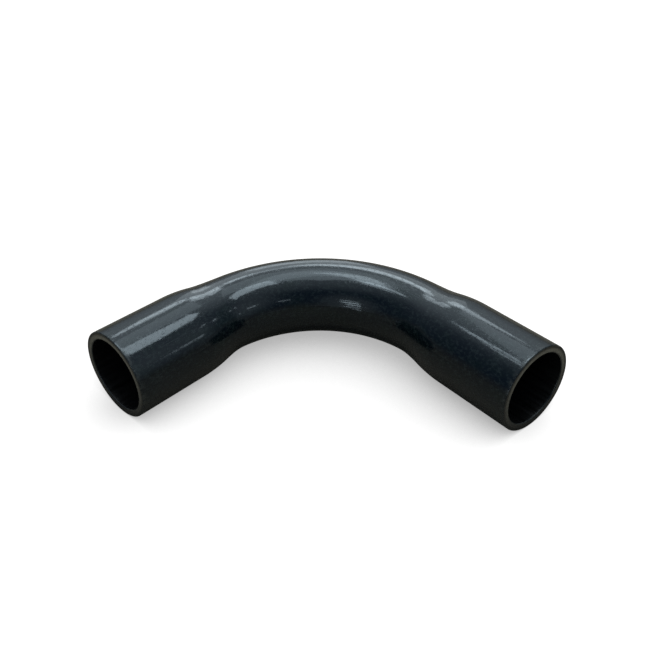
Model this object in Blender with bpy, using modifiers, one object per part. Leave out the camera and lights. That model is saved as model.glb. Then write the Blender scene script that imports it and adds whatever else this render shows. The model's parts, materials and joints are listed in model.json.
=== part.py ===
"""A 90 degree PVC conduit elbow: one heat-bent length of tube with both ends belled into sockets.

Frame: metres, +Z up. The elbow lies flat, as it does on a bench, on the undersides of its two
bells, with the centreline of the bend level. The origin is on the bench, under the middle of the
elbow's bounding box. The mouth of leg A faces -Y, the mouth of leg B faces +X, and the outside of
the bend faces -X and +Y.
"""
from collections import namedtuple
from math import atan2, cos, radians, sin

import bpy
from mathutils import Vector

# Driving dimensions, in metres and radians
CONDUIT_OD = 0.0334         # 1-inch trade size rigid PVC conduit, outside
CONDUIT_WALL = 0.00455      # heavy wall, before the ends are belled
BEND_RADIUS = 0.0688        # to the centreline
BEND_ANGLE = radians(90)
BELL_OD_MOUTH = 0.0407      # the bell is widest at its mouth
BELL_OD_DEEP = 0.0395       # and tapers to this where its straight length ends
SOCKET_BORE_MOUTH = 0.0337  # takes the 33.4 mm conduit with a little room
SOCKET_BORE_DEEP = 0.0329   # and grips it about a third of the way in
MOUTH_LAND = 0.0015         # short length at the mouth without taper, so the sawn rim is square
RIM_ROUNDING = 0.0005       # deburred edges of the sawn rims
FLARE = 0.0282              # length over which each bell comes down to the tube

# Each leg has a straight bell, then a flare whose far end lies inside the bend by its overlap
Leg = namedtuple("Leg", "bell overlap")
LEG_A = Leg(bell=0.0347, overlap=0.0104)
LEG_B = Leg(bell=0.0390, overlap=0.0069)

# Facets
SIDES = 48                  # round the tube
BEND_STEPS = 26
FLARE_STEPS = 8

PVC_COLOUR = (0.030, 0.036, 0.043, 1.0)
PVC_ROUGHNESS = 0.28


def leg_length(leg):
    """From the mouth to the end of the bend's arc."""
    return leg.bell + FLARE - leg.overlap


LENGTH_A = leg_length(LEG_A)
LENGTH_B = leg_length(LEG_B)
ARC_LENGTH = BEND_RADIUS * BEND_ANGLE
TOTAL_LENGTH = LENGTH_A + ARC_LENGTH + LENGTH_B


def centreline(station):
    """The centreline's point at a distance from mouth A, measured from the centre of the bend."""
    if station < LENGTH_A:
        return Vector((-BEND_RADIUS, station - LENGTH_A, 0))
    turned = (station - LENGTH_A) / BEND_RADIUS
    if turned < BEND_ANGLE:
        return Vector((-BEND_RADIUS * cos(turned), BEND_RADIUS * sin(turned), 0))
    return Vector((station - LENGTH_A - ARC_LENGTH, BEND_RADIUS, 0))


def station_of(point):
    """The distance from mouth A of the section that a point of the tube lies in."""
    if point.y < 0:
        return LENGTH_A + point.y
    if point.x > 0:
        return LENGTH_A + ARC_LENGTH + point.x
    return LENGTH_A + BEND_RADIUS * atan2(point.y, -point.x)


def nearest_mouth(station):
    """The distance from the nearer mouth, and that mouth's leg."""
    if station < TOTAL_LENGTH / 2:
        return station, LEG_A
    return TOTAL_LENGTH - station, LEG_B


def along(value, start, end):
    """How far value has come from start to end, from 0 to 1."""
    return min(1.0, max(0.0, (value - start) / (end - start)))


def flare_blend(share):
    """From 0 to 1 along an S of two parabolas."""
    if share < 0.5:
        return 2 * share * share
    return 1 - 2 * (1 - share) ** 2


def section(station):
    """Outer diameter and wall thickness at a station."""
    depth, leg = nearest_mouth(station)
    taper = along(depth, MOUTH_LAND, leg.bell)
    bell_od = BELL_OD_MOUTH + (BELL_OD_DEEP - BELL_OD_MOUTH) * taper
    bell_bore = SOCKET_BORE_MOUTH + (SOCKET_BORE_DEEP - SOCKET_BORE_MOUTH) * taper
    blend = flare_blend(along(depth, leg.bell, leg.bell + FLARE))
    bell_wall = (bell_od - bell_bore) / 2
    outer = bell_od + (CONDUIT_OD - bell_od) * blend
    wall = bell_wall + (CONDUIT_WALL - bell_wall) * blend
    return outer, wall


def steps(start, end, count):
    """Evenly spaced values after start, up to and including end."""
    return [start + (end - start) * (i + 1) / count for i in range(count)]


def leg_stations(leg):
    """Distances from a mouth of the rings along its leg, down to the end of the flare."""
    return [0.0, MOUTH_LAND, leg.bell / 2, leg.bell] + steps(leg.bell, leg.bell + FLARE, FLARE_STEPS)


def ring_stations():
    """Distances from mouth A of every ring of the tube."""
    from_a = leg_stations(LEG_A)
    from_b = [TOTAL_LENGTH - depth for depth in reversed(leg_stations(LEG_B))]
    return from_a + steps(from_a[-1], from_b[0], BEND_STEPS)[:-1] + from_b


def clear_scene():
    for leftover in list(bpy.data.objects):
        bpy.data.objects.remove(leftover, do_unlink=True)


def new_collection(name):
    collection = bpy.data.collections.new(name)
    bpy.context.scene.collection.children.link(collection)
    return collection


def pvc_material():
    material = bpy.data.materials.new("dark_slate_pvc")
    material.use_nodes = True
    shader = material.node_tree.nodes["Principled BSDF"]
    shader.inputs["Base Color"].default_value = PVC_COLOUR
    shader.inputs["Roughness"].default_value = PVC_ROUGHNESS
    shader.inputs["Metallic"].default_value = 0.0
    return material


def tube_skin(name):
    """The outer surface as an open mesh: a curve along the centreline, its radius set ring by ring."""
    curve = bpy.data.curves.new(name, "CURVE")
    curve.dimensions = "3D"
    curve.twist_mode = "Z_UP"
    curve.bevel_depth = CONDUIT_OD / 2
    curve.bevel_resolution = (SIDES - 4) // 2
    curve.use_fill_caps = False
    stations = ring_stations()
    spline = curve.splines.new("POLY")
    spline.points.add(len(stations) - 1)
    for point, station in zip(spline.points, stations):
        point.co = (*centreline(station), 1)
        point.radius = section(station)[0] / CONDUIT_OD
    guide = bpy.data.objects.new(name, curve)
    bpy.context.scene.collection.objects.link(guide)
    evaluated = guide.evaluated_get(bpy.context.evaluated_depsgraph_get())
    skin = bpy.data.meshes.new_from_object(evaluated)
    bpy.data.objects.remove(guide, do_unlink=True)
    return skin


def add_wall(tube):
    """Thicken the skin inwards, by the wall of each ring."""
    group = tube.vertex_groups.new(name="wall")
    for vertex in tube.data.vertices:
        wall = section(station_of(vertex.co))[1]
        group.add([vertex.index], wall / CONDUIT_WALL, "REPLACE")
    shell = tube.modifiers.new("wall", "SOLIDIFY")
    shell.thickness = CONDUIT_WALL
    shell.offset = -1
    shell.vertex_group = group.name


def round_rims(tube):
    """Break the four sharp edges of the two sawn rims."""
    rims = tube.modifiers.new("rims", "BEVEL")
    rims.width = RIM_ROUNDING
    rims.segments = 2
    rims.limit_method = "ANGLE"
    rims.angle_limit = radians(60)


def build_elbow():
    collection = new_collection("pvc_conduit_elbow")
    skin = tube_skin("elbow_tube")
    skin.materials.clear()
    skin.materials.append(pvc_material())
    tube = bpy.data.objects.new("elbow_tube", skin)
    collection.objects.link(tube)
    add_wall(tube)
    round_rims(tube)
    skin.shade_smooth()
    skin.set_sharp_from_angle(angle=radians(40))
    bell_radius = BELL_OD_MOUTH / 2
    reach_out = BEND_RADIUS + bell_radius
    tube.location = ((reach_out - LENGTH_B) / 2, (LENGTH_A - reach_out) / 2, bell_radius)


clear_scene()
build_elbow()
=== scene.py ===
"""Looks of the PVC conduit elbow: its fine surface, its plastic, and the studio round it.

Frame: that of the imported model. The elbow lies flat, mouth A faces -Y and mouth B faces +X.
"""

import json
from collections import namedtuple
from math import cos, pi, radians, sin

import bpy
import numpy as np
from mathutils import Matrix, Vector


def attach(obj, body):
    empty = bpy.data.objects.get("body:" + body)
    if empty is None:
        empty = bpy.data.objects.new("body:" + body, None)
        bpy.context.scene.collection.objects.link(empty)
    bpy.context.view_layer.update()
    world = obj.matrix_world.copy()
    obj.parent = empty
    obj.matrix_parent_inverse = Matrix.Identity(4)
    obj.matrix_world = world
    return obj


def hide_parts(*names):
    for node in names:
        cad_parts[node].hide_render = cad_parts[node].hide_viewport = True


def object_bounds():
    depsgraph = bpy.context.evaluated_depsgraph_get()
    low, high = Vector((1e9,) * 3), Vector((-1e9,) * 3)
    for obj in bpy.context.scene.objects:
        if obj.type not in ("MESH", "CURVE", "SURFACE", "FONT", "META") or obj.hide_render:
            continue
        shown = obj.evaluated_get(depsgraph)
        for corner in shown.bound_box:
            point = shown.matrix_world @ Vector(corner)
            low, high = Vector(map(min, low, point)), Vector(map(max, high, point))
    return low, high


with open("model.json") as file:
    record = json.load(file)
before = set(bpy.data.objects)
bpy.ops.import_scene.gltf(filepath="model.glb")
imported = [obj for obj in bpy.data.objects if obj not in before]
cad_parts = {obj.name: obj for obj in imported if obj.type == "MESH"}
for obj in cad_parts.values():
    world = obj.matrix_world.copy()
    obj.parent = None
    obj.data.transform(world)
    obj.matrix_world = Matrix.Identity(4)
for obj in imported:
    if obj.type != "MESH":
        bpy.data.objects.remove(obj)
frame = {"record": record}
cad_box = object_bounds()

# ---------------------------------------------------------------- sizes, in metres

CONDUIT_OD = 0.0334
CONDUIT_WALL = 0.00455
BEND_RADIUS = 0.0688
BEND_ANGLE = radians(90)
BELL_OD_MOUTH = 0.0407
BELL_OD_DEEP = 0.0395
SOCKET_BORE_MOUTH = 0.0337
SOCKET_BORE_DEEP = 0.0329
MOUTH_LAND = 0.0015            # the bell's taper starts so far behind the mouth
RIM_ROUNDING = 0.0005
FLARE = 0.0282
WEAR_REACH = 0.003             # how far handling marks reach from a mouth
DARK_EDGE = (0.0008, 0.0020)   # a rim's dark outer edge is full, and has ended, so far in

# The length of each leg's bell, and how much of its flare lies in the bend
Leg = namedtuple("Leg", "bell overlap")
LEG_A = Leg(bell=0.0347, overlap=0.0104)
LEG_B = Leg(bell=0.0390, overlap=0.0069)

LENGTH_A = LEG_A.bell + FLARE - LEG_A.overlap
LENGTH_B = LEG_B.bell + FLARE - LEG_B.overlap
ARC_LENGTH = BEND_RADIUS * BEND_ANGLE
TOTAL_LENGTH = LENGTH_A + ARC_LENGTH + LENGTH_B

# The two socket rims in the record give the axis of each leg, and so the centre of the bend
RIMS = {mount["name"]: mount["pos_m"] for mount in frame["record"]["mounts"]}
AXIS_HEIGHT = (cad_box[0].z + cad_box[1].z) / 2
CORNER = Vector((RIMS["socket_a_rim"][0], RIMS["socket_b_rim"][1], AXIS_HEIGHT))
BEND_CENTRE = CORNER + Vector((BEND_RADIUS, -BEND_RADIUS, 0))

# Fineness of the surface: how many parts each stretch of it has
SIDES = 160
OUTER_RINGS = 330
BORE_RINGS = 110
RIM_STEPS = 5
FACE_STEPS = 6


# ---------------------------------------------------------------- the shape

def flare_blend(share):
    """From 0 to 1 along an S of two parabolas."""
    share = np.clip(share, 0, 1)
    return np.where(share < 0.5, 2 * share ** 2, 1 - 2 * (1 - share) ** 2)


def leg_section(depth, leg):
    """Outer and bore radius at distances from a mouth, along its leg."""
    taper = np.clip((depth - MOUTH_LAND) / (leg.bell - MOUTH_LAND), 0, 1)
    bell_od = BELL_OD_MOUTH + (BELL_OD_DEEP - BELL_OD_MOUTH) * taper
    bell_bore = SOCKET_BORE_MOUTH + (SOCKET_BORE_DEEP - SOCKET_BORE_MOUTH) * taper
    blend = flare_blend((depth - leg.bell) / FLARE)
    bell_wall = (bell_od - bell_bore) / 2
    outer = (bell_od + (CONDUIT_OD - bell_od) * blend) / 2
    wall = bell_wall + (CONDUIT_WALL - bell_wall) * blend
    return outer, outer - wall


def section(station):
    """Outer and bore radius at distances from mouth A."""
    outer_a, bore_a = leg_section(station, LEG_A)
    outer_b, bore_b = leg_section(TOTAL_LENGTH - station, LEG_B)
    near_a = station < TOTAL_LENGTH / 2
    return np.where(near_a, outer_a, outer_b), np.where(near_a, bore_a, bore_b)


def centreline(station):
    """Points of the centreline, and its outward normals in the level plane."""
    station = np.asarray(station, float)
    turned = np.clip((station - LENGTH_A) / BEND_RADIUS, 0, BEND_ANGLE)
    outward = np.stack([-np.cos(turned), np.sin(turned), np.zeros_like(turned)], -1)
    tangent = np.stack([np.sin(turned), np.cos(turned), np.zeros_like(turned)], -1)
    beyond = station - LENGTH_A - turned * BEND_RADIUS
    points = np.array(BEND_CENTRE) + BEND_RADIUS * outward + beyond[:, None] * tangent
    return points, outward


SKIN, RIM, BORE = range(3)   # the mesh's materials


def rings():
    """Station, radius and kind of every ring, once round the wall: outside, rim B, bore, rim A."""
    outside = np.linspace(RIM_ROUNDING, TOTAL_LENGTH - RIM_ROUNDING, OUTER_RINGS)
    bore = np.linspace(TOTAL_LENGTH - RIM_ROUNDING, RIM_ROUNDING, BORE_RINGS)
    quarter = np.linspace(0, pi / 2, RIM_STEPS + 1)[1:]
    edge_in = RIM_ROUNDING * (1 - np.sin(quarter))
    edge_drop = RIM_ROUNDING * (1 - np.cos(quarter))
    outer_mouth, bore_mouth = BELL_OD_MOUTH / 2, SOCKET_BORE_MOUTH / 2
    face = np.linspace(outer_mouth - RIM_ROUNDING, bore_mouth + RIM_ROUNDING, FACE_STEPS + 1)[1:-1]
    rim_depth = np.concatenate([edge_in, 0 * face, edge_in[::-1]])
    rim_radius = np.concatenate([outer_mouth - edge_drop, face, (bore_mouth + edge_drop)[::-1]])
    station = np.concatenate([outside, TOTAL_LENGTH - rim_depth, bore, rim_depth[::-1]])
    radius = np.concatenate([section(outside)[0], rim_radius, section(bore)[1], rim_radius[::-1]])
    rim_kinds = [SKIN] * len(quarter) + [RIM] * len(face) + [SKIN] * len(quarter)
    kinds = [SKIN] * len(outside) + rim_kinds + [BORE] * len(bore) + rim_kinds[::-1]
    return station, radius, np.array(kinds)


def elbow_mesh():
    """The closed skin: every ring joined to the next one, and the last to the first."""
    station, radius, kind = rings()
    angle = np.arange(SIDES) * 2 * pi / SIDES
    points, outward = centreline(station)
    across = outward[:, None, :] * np.cos(angle)[:, None]
    upward = np.array([0, 0, 1.0]) * np.sin(angle)[:, None]
    vertices = points[:, None, :] + radius[:, None, None] * (across + upward)
    count = len(station)
    ring, side = np.meshgrid(np.arange(count), np.arange(SIDES), indexing="ij")
    next_ring, next_side = (ring + 1) % count, (side + 1) % SIDES
    corners = [ring * SIDES + side, ring * SIDES + next_side,
               next_ring * SIDES + next_side, next_ring * SIDES + side]
    faces = np.stack(corners, -1).reshape(-1, 4)
    mesh = bpy.data.meshes.new("elbow_skin")
    mesh.from_pydata(vertices.reshape(-1, 3).tolist(), [], faces.tolist())

    # A band between rings of two kinds belongs to the rim or the bore, not to the skin
    face_kind = np.maximum(kind, np.roll(kind, -1))
    mesh.polygons.foreach_set("material_index", np.repeat(face_kind, SIDES).astype(np.int32))

    # Where each point would be if the tube were straight: level across, upward, along
    straight = np.stack([radius[:, None] * np.cos(angle), radius[:, None] * np.sin(angle),
                         np.repeat(station[:, None], SIDES, 1)], -1)
    attribute = mesh.attributes.new("pipe_space", "FLOAT_VECTOR", "POINT")
    attribute.data.foreach_set("vector", straight.astype(np.float32).ravel())
    mesh.update()
    return mesh


# ---------------------------------------------------------------- the plastic

SLATE_DARK = (0.0022, 0.0042, 0.0076, 1)
SLATE_LIGHT = (0.0044, 0.0070, 0.0102, 1)
SLATE_GREEN = (0.0028, 0.0078, 0.0070, 1)
PALE_FLECK = (0.021, 0.030, 0.031, 1)
SCRATCHED = (0.030, 0.038, 0.042, 1)
WORN = (0.045, 0.048, 0.044, 1)
CHALK_DULL = (0.150, 0.140, 0.110, 1)
CHALK_FRESH = (0.240, 0.226, 0.180, 1)
# The rim's colour low down: painted shade, darker than the rest of the rim
RIM_PAINTED_SHADE = (0.028, 0.028, 0.026, 1)
RIM_OUTLINE = (0.006, 0.006, 0.006, 1)
BORE_DARK = (0.0015, 0.0018, 0.0020, 1)
BORE_LIGHT = (0.0040, 0.0045, 0.0050, 1)
SPECULAR_TINT = (0.84, 0.94, 1.0, 1)
WHITE = (1, 1, 1, 1)

MICRON = 1e-6

# Sockets of a Mix node that mixes colours: its names repeat once for each kind of data
MIX_SHARE, MIX_FIRST, MIX_SECOND, MIX_RESULT = 0, 6, 7, 2


class Nodes:
    """Short calls that add and link the nodes of one material, or of the world."""

    def __init__(self, owner):
        owner.use_nodes = True
        self.tree = owner.node_tree

    def add(self, kind, inputs=None, **settings):
        node = self.tree.nodes.new(kind)
        for key, value in settings.items():
            setattr(node, key, value)
        for key, value in (inputs or {}).items():
            self.put(node.inputs[key], value)
        return node

    def put(self, socket, value):
        if isinstance(value, bpy.types.NodeSocket):
            self.tree.links.new(value, socket)
        else:
            socket.default_value = value

    def pipe_space(self, stretch=(1, 1, 1)):
        """Stretched coordinates of the straightened tube, so that marks follow the bend."""
        source = self.add("ShaderNodeAttribute", attribute_name="pipe_space")
        return self.add("ShaderNodeVectorMath", {0: source.outputs["Vector"], 1: stretch},
                        operation="MULTIPLY").outputs["Vector"]

    def noise(self, per_metre, detail=2, roughness=0.5):
        """Noise with so many waves in a metre: level across the tube, upward and along it."""
        inputs = {"Vector": self.pipe_space(per_metre), "Scale": 1, "Detail": detail,
                  "Roughness": roughness}
        return self.add("ShaderNodeTexNoise", inputs).outputs["Fac"]

    def ramp(self, value, low, high, to_low=0, to_high=1):
        """A smooth step: to_low where the value is low, and to_high where it is high."""
        inputs = {"Value": value, "From Min": low, "From Max": high,
                  "To Min": to_low, "To Max": to_high}
        return self.add("ShaderNodeMapRange", inputs,
                        interpolation_type="SMOOTHSTEP").outputs["Result"]

    def mix(self, share, first, second):
        inputs = {MIX_SHARE: share, MIX_FIRST: first, MIX_SECOND: second}
        return self.add("ShaderNodeMix", inputs, data_type="RGBA").outputs[MIX_RESULT]

    def math(self, operation, first, second):
        return self.add("ShaderNodeMath", {0: first, 1: second}, operation=operation).outputs[0]

    def bump(self, height, depth, before=None):
        inputs = {"Height": height, "Distance": depth, "Strength": 1}
        if before is not None:
            inputs["Normal"] = before
        return self.add("ShaderNodeBump", inputs).outputs["Normal"]

    def coat(self, colour, roughness, normal):
        """Gives the material's shader its colour, roughness and normal."""
        shader = self.tree.nodes["Principled BSDF"]
        self.put(shader.inputs["Base Color"], colour)
        self.put(shader.inputs["Roughness"], roughness)
        self.put(shader.inputs["Normal"], normal)
        return shader


def end_wear(nodes):
    """1 in the worn patches at a mouth, and 0 further in than they reach."""
    station = nodes.add("ShaderNodeSeparateXYZ", {"Vector": nodes.pipe_space()}).outputs["Z"]
    near_a = nodes.ramp(station, WEAR_REACH, 0)
    near_b = nodes.ramp(station, TOTAL_LENGTH - WEAR_REACH, TOTAL_LENGTH)
    patches = nodes.ramp(nodes.noise((450, 450, 450), detail=3, roughness=0.7), 0.42, 0.62)
    return nodes.math("MULTIPLY", nodes.math("ADD", near_a, near_b), patches)


def skin_material():
    """The extruded outside: glossy, with orange peel, die lines, cloudy tints and worn ends."""
    material = bpy.data.materials.new("dark_slate_pvc")
    nodes = Nodes(material)

    cloud = nodes.ramp(nodes.noise((70, 70, 45), detail=3), 0.35, 0.65)
    green = nodes.ramp(nodes.noise((150, 150, 90)), 0.45, 0.75, 0, 0.6)
    fleck = nodes.ramp(nodes.noise((850, 850, 600), detail=1, roughness=0.6), 0.45, 0.72, 0, 0.5)
    scratch = nodes.ramp(nodes.noise((1300, 1300, 14), detail=1), 0.70, 0.76)
    wear = end_wear(nodes)
    colour = nodes.mix(cloud, SLATE_DARK, SLATE_LIGHT)
    colour = nodes.mix(green, colour, SLATE_GREEN)
    colour = nodes.mix(fleck, colour, PALE_FLECK)
    colour = nodes.mix(nodes.math("MULTIPLY", scratch, 0.5), colour, SCRATCHED)
    colour = nodes.mix(nodes.math("MULTIPLY", wear, 0.7), colour, WORN)

    scuffs = nodes.noise((900, 900, 120), detail=4, roughness=0.7)
    grain = nodes.noise((1300, 1300, 900), roughness=0.7)
    roughness = nodes.math("ADD", nodes.ramp(scuffs, 0.3, 0.8, 0.035, 0.08),
                           nodes.ramp(grain, 0.45, 0.75, 0, 0.28))
    roughness = nodes.math("ADD", roughness, nodes.math("MULTIPLY", wear, 0.3))

    waves = nodes.noise((220, 220, 110), detail=1)
    die_lines = nodes.noise((1500, 1500, 25), detail=3, roughness=0.6)
    orange_peel = nodes.noise((1000, 1000, 800), roughness=0.6)
    normal = nodes.bump(waves, 12 * MICRON)
    normal = nodes.bump(die_lines, 6 * MICRON, normal)
    normal = nodes.bump(orange_peel, 10 * MICRON, normal)
    normal = nodes.bump(scratch, 6 * MICRON, normal)

    shader = nodes.coat(colour, roughness, normal)
    shader.inputs["Specular Tint"].default_value = SPECULAR_TINT
    return material


def rim_material():
    """The sawn rims: matt, chalky, with painted shade low down, a dark outer edge and saw marks."""
    material = bpy.data.materials.new("sawn_pvc")
    nodes = Nodes(material)
    chalk = nodes.noise((500, 500, 500), detail=4, roughness=0.7)
    colour = nodes.mix(nodes.ramp(chalk, 0.3, 0.7), CHALK_DULL, CHALK_FRESH)
    # Painted shade: the rim's colour darkens towards its bottom
    height = nodes.add("ShaderNodeSeparateXYZ", {"Vector": nodes.pipe_space()}).outputs["Y"]
    top = nodes.ramp(height, -BELL_OD_MOUTH / 2, BELL_OD_MOUTH / 2)
    colour = nodes.mix(top, RIM_PAINTED_SHADE, colour)
    radius = nodes.add("ShaderNodeVectorMath", {0: nodes.pipe_space((1, 1, 0))},
                       operation="LENGTH").outputs["Value"]
    full, end = (BELL_OD_MOUTH / 2 - inside for inside in DARK_EDGE)
    colour = nodes.mix(nodes.ramp(radius, end, full, 0, 0.85), colour, RIM_OUTLINE)
    saw_marks = nodes.noise((250, 2600, 1), detail=3)
    nodes.coat(colour, nodes.ramp(chalk, 0.3, 0.7, 0.45, 0.7), nodes.bump(saw_marks, 50 * MICRON))
    return material


def bore_material():
    """The bore: the same plastic, duller and with lengthwise draw marks."""
    material = bpy.data.materials.new("bore_pvc")
    nodes = Nodes(material)
    draw_marks = nodes.noise((900, 900, 40), detail=3)
    colour = nodes.mix(nodes.ramp(draw_marks, 0.3, 0.7), BORE_DARK, BORE_LIGHT)
    roughness = nodes.ramp(draw_marks, 0.3, 0.7, 0.28, 0.45)
    nodes.coat(colour, roughness, nodes.bump(draw_marks, 10 * MICRON))
    return material


# ---------------------------------------------------------------- the studio

# The camera's values come from a least-squares fit to the elbow's outline in the photo
CAMERA_AZIMUTH = radians(48.46)
CAMERA_ELEVATION = radians(39.09)
CAMERA_ROLL = radians(-1.66)
CAMERA_DISTANCE = 0.5109
CAMERA_LENS = 63.51
SENSOR_WIDTH = 36.0
NEAREST_SEEN = 0.01

# The point that the camera looks at, from the bend's centre: across the bend, and to its middle
AIM_FROM_CENTRE = (0.00226, 0.04655)

# Level directions of the studio: to the camera's right, and away from it
RIGHT = Vector((cos(CAMERA_AZIMUTH), sin(CAMERA_AZIMUTH), 0))
AWAY = Vector((-sin(CAMERA_AZIMUTH), cos(CAMERA_AZIMUTH), 0))
UP = Vector((0, 0, 1))
STAGE_CENTRE = 0.02 * (AWAY + UP)      # what the lamps face

LIGHT_COLOUR = (0.86, 0.95, 1.0)
HORIZON_COLOUR = (0.15, 0.145, 0.135)
ROOM_COLOUR = (0.06, 0.09, 0.13)
HAZE_HEIGHT = 0.3                      # sine of the height where the horizon's colour ends

# A glow is strongest towards its bearing and height, which are in degrees as for the panels below.
# It starts where the cosine of the angle from there is start, and would be whole where it is full:
# with a full over 1 it stays softer than its radiance.
Glow = namedtuple("Glow", "bearing height start full radiance")
GLOWS = [
    Glow(-118, 34, 0.80, 1.15, 0.75),
    Glow(150, 16, 0.85, 1.05, 0.45),
    Glow(0, 50, 0.15, 1.60, 0.70),
    Glow(0, 90, 0.68, 1.15, 0.85),
    Glow(0, 50, 0.60, 1.20, 1.52),
]

FLOOR_SIDE = 12.0
FLOOR_BOUNCE = (0.235, 0.205, 0.160)   # the floor throws a modest, warm light on the elbow
SHADOW_REACH = 0.15
SHADOW_SLANT = 0.2                     # the light comes a little more from the right

# The floor's brightness where the elbow hides the whole sky, and where it hides none of it
SHADOW_DEPTH = (0.26, 1.29)

# A light panel faces the elbow. Its place is its bearing in degrees, counted from straight behind
# the elbow towards the left, its height in degrees, and its distance in metres. Its two sides are
# in metres, and its turn about its own middle is in degrees. The rows from ceiling_right to
# ceiling_glow and from back_right to far_back are rounded values of a least-squares fit to the
# photo's brightness, changed in part. The windows' bearing and turn, the height of the two
# glows at 50 degrees, and the first one's start and full are near that fit's too. The bearings and
# heights of the other lamps were traced back from single highlights. The rest was given.
Panel = namedtuple("Panel", "name bearing height distance size turn radiance")
PANELS = [
    Panel("ceiling_right", -69, 70, 1.0, (0.38, 0.28), 7, 4.4),
    Panel("ceiling_middle", 10, 78.5, 3.0, (1.40, 1.50), 38, 1.4),
    Panel("ceiling_left", 40, 72.5, 3.0, (1.20, 0.46), 48, 3.3),
    Panel("ceiling_glow", -10, 65, 1.0, (0.56, 0.43), 54, 0.85),
    Panel("bench_lamp", 52, 72, 0.33, (0.055, 0.028), -33, 3.8),
    Panel("bench_strip", 72, 73.5, 0.33, (0.050, 0.018), -31, 2.8),
    Panel("back_right", -6, 36.5, 1.2, (0.33, 0.21), -63, 3.2),
    Panel("back_left", 13, 39, 0.9, (0.17, 0.15), -84, 2.8),
    Panel("back_middle", 2, 37.5, 3.0, (0.90, 0.29), 6, 1.9),
    Panel("back_wide", -1, 26.5, 0.45, (0.28, 0.17), -8, 0.8),
    Panel("far_back", 2, 12, 0.6, (0.19, 0.14), 18, 1.4),
    Panel("window_top", 150, 24, 1.0, (0.20, 0.05), -11, 3.5),
    Panel("window_upper", 149, 18, 1.0, (0.24, 0.05), -11, 4.6),
    Panel("window_middle", 147, 12, 1.0, (0.20, 0.05), -11, 4.3),
    Panel("window_lower", 148, 6, 1.0, (0.23, 0.04), -11, 3.3),
    Panel("window_foot", 144, 0, 1.0, (0.12, 0.04), -11, 2.2),
    Panel("far_window_a", -98.5, 38, 2.0, (0.10, 0.20), 0, 2.6),
    Panel("far_window_b", -129, 30.5, 2.0, (0.25, 0.14), 10, 2.2),
    Panel("far_window_c", -157, 27, 2.0, (0.30, 0.11), 10, 1.8),
    Panel("far_window_d", -86, 31, 2.0, (0.12, 0.14), 0, 2.4),
    Panel("far_window_e", -110.3, 21.3, 2.0, (0.11, 0.12), 0, 1.8),
]


def towards(bearing, height):
    """The direction of a bearing and height in degrees."""
    bearing, height = radians(bearing), radians(height)
    return cos(height) * (cos(bearing) * AWAY - sin(bearing) * RIGHT) + sin(height) * UP


def facing(place, outward, turn):
    """The matrix of a camera or lamp that looks back along outward, turned about it."""
    side = (RIGHT - outward * RIGHT.dot(outward)).normalized()
    rise = outward.cross(side)
    x_axis = cos(turn) * side + sin(turn) * rise
    y_axis = cos(turn) * rise - sin(turn) * side
    rotation = Matrix((x_axis, y_axis, outward)).transposed().to_4x4()
    return Matrix.Translation(place) @ rotation


def add_object(name, data):
    added = bpy.data.objects.new(name, data)
    bpy.context.scene.collection.objects.link(added)
    return added


def add_camera():
    middle = BEND_ANGLE / 2
    across_bend = Vector((cos(middle), sin(middle), 0))
    towards_bend = Vector((-sin(middle), cos(middle), 0))
    target = BEND_CENTRE + AIM_FROM_CENTRE[0] * across_bend + AIM_FROM_CENTRE[1] * towards_bend
    back = -AWAY * cos(CAMERA_ELEVATION) + UP * sin(CAMERA_ELEVATION)
    camera = add_object("camera", bpy.data.cameras.new("camera"))
    camera.matrix_world = facing(target + back * CAMERA_DISTANCE, back, CAMERA_ROLL)
    camera.data.sensor_width = SENSOR_WIDTH
    camera.data.lens = CAMERA_LENS
    camera.data.clip_start = NEAREST_SEEN
    bpy.context.scene.camera = camera


def add_panel(panel):
    light = bpy.data.lights.new(panel.name, "AREA")
    light.shape = "RECTANGLE"
    light.size, light.size_y = panel.size
    light.color = LIGHT_COLOUR
    light.energy = pi * panel.size[0] * panel.size[1] * panel.radiance
    outward = towards(panel.bearing, panel.height)
    lamp = add_object(panel.name, light)
    lamp.matrix_world = facing(STAGE_CENTRE + outward * panel.distance, outward, radians(panel.turn))
    lamp.visible_camera = False


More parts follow.
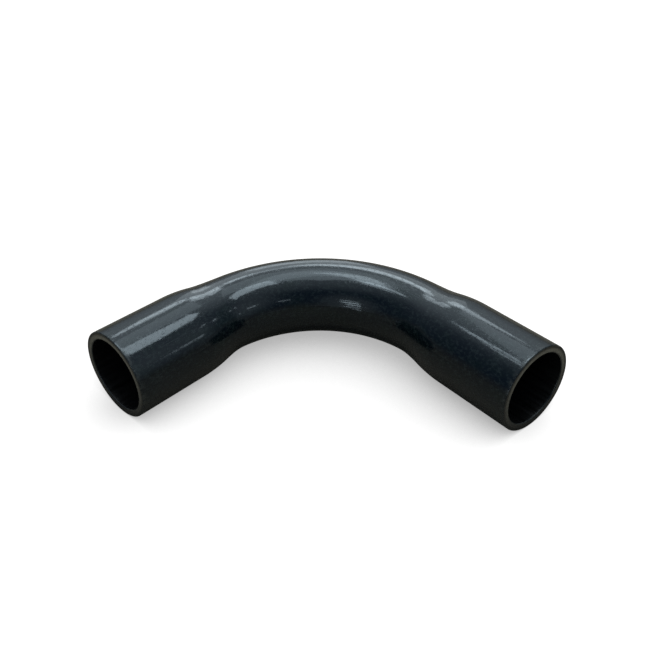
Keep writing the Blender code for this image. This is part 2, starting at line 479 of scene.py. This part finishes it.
def floor_material():
    """White to the camera and shaded near the elbow. To every other ray it is dull and warm."""
    material = bpy.data.materials.new("floor")
    nodes = Nodes(material)
    nodes.tree.nodes.remove(nodes.tree.nodes["Principled BSDF"])
    leaning = (UP + SHADOW_SLANT * RIGHT).normalized()
    slant = nodes.add("ShaderNodeCombineXYZ", dict(zip("XYZ", leaning)))
    openness = nodes.add("ShaderNodeAmbientOcclusion", {"Distance": SHADOW_REACH,
                                                        "Normal": slant.outputs["Vector"]})
    shade = nodes.add("ShaderNodeMapRange", {"Value": openness.outputs["AO"],
                                             "To Min": SHADOW_DEPTH[0], "To Max": SHADOW_DEPTH[1]})
    white = nodes.add("ShaderNodeEmission", {"Strength": shade.outputs["Result"]})
    dull = nodes.add("ShaderNodeBsdfDiffuse", {"Color": (*FLOOR_BOUNCE, 1)})
    ray = nodes.add("ShaderNodeLightPath")
    either = nodes.add("ShaderNodeMixShader", {"Fac": ray.outputs["Is Camera Ray"],
                                               1: dull.outputs["BSDF"],
                                               2: white.outputs["Emission"]})
    nodes.put(nodes.tree.nodes["Material Output"].inputs["Surface"], either.outputs["Shader"])
    return material


def add_floor():
    half = FLOOR_SIDE / 2
    mesh = bpy.data.meshes.new("floor")
    corners = [(-half, -half, 0), (half, -half, 0), (half, half, 0), (-half, half, 0)]
    mesh.from_pydata(corners, [], [(0, 1, 2, 3)])
    mesh.materials.append(floor_material())
    floor = add_object("floor", mesh)


def add_world():
    """Soft glows over a dim room, and plain white where the camera sees past the floor."""
    world = bpy.data.worlds.new("studio")
    bpy.context.scene.world = world
    nodes = Nodes(world)
    direction = nodes.add("ShaderNodeTexCoord").outputs["Generated"]

    def fade(axis, start, full):
        along = nodes.add("ShaderNodeVectorMath", {0: direction, 1: axis}, operation="DOT_PRODUCT")
        return nodes.ramp(along.outputs["Value"], start, full)

    colour = nodes.mix(fade(UP, 0, HAZE_HEIGHT), (*HORIZON_COLOUR, 1), (*ROOM_COLOUR, 1))
    for glow in GLOWS:
        light = (*[glow.radiance * part for part in LIGHT_COLOUR], 1)
        share = fade(towards(glow.bearing, glow.height), glow.start, glow.full)
        colour = nodes.mix(share, colour, light)
    ray = nodes.add("ShaderNodeLightPath")
    backdrop = nodes.mix(ray.outputs["Is Camera Ray"], colour, WHITE)
    nodes.put(nodes.tree.nodes["Background"].inputs["Color"], backdrop)


add_camera()
add_floor()
add_world()
for panel in PANELS:
    add_panel(panel)

elbow = add_object("elbow_skin", elbow_mesh())
for material in (skin_material(), rim_material(), bore_material()):
    elbow.data.materials.append(material)
elbow.data.shade_smooth()
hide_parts("elbow_tube")
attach(elbow, "root")

bpy.context.scene.view_settings.view_transform = "Standard"
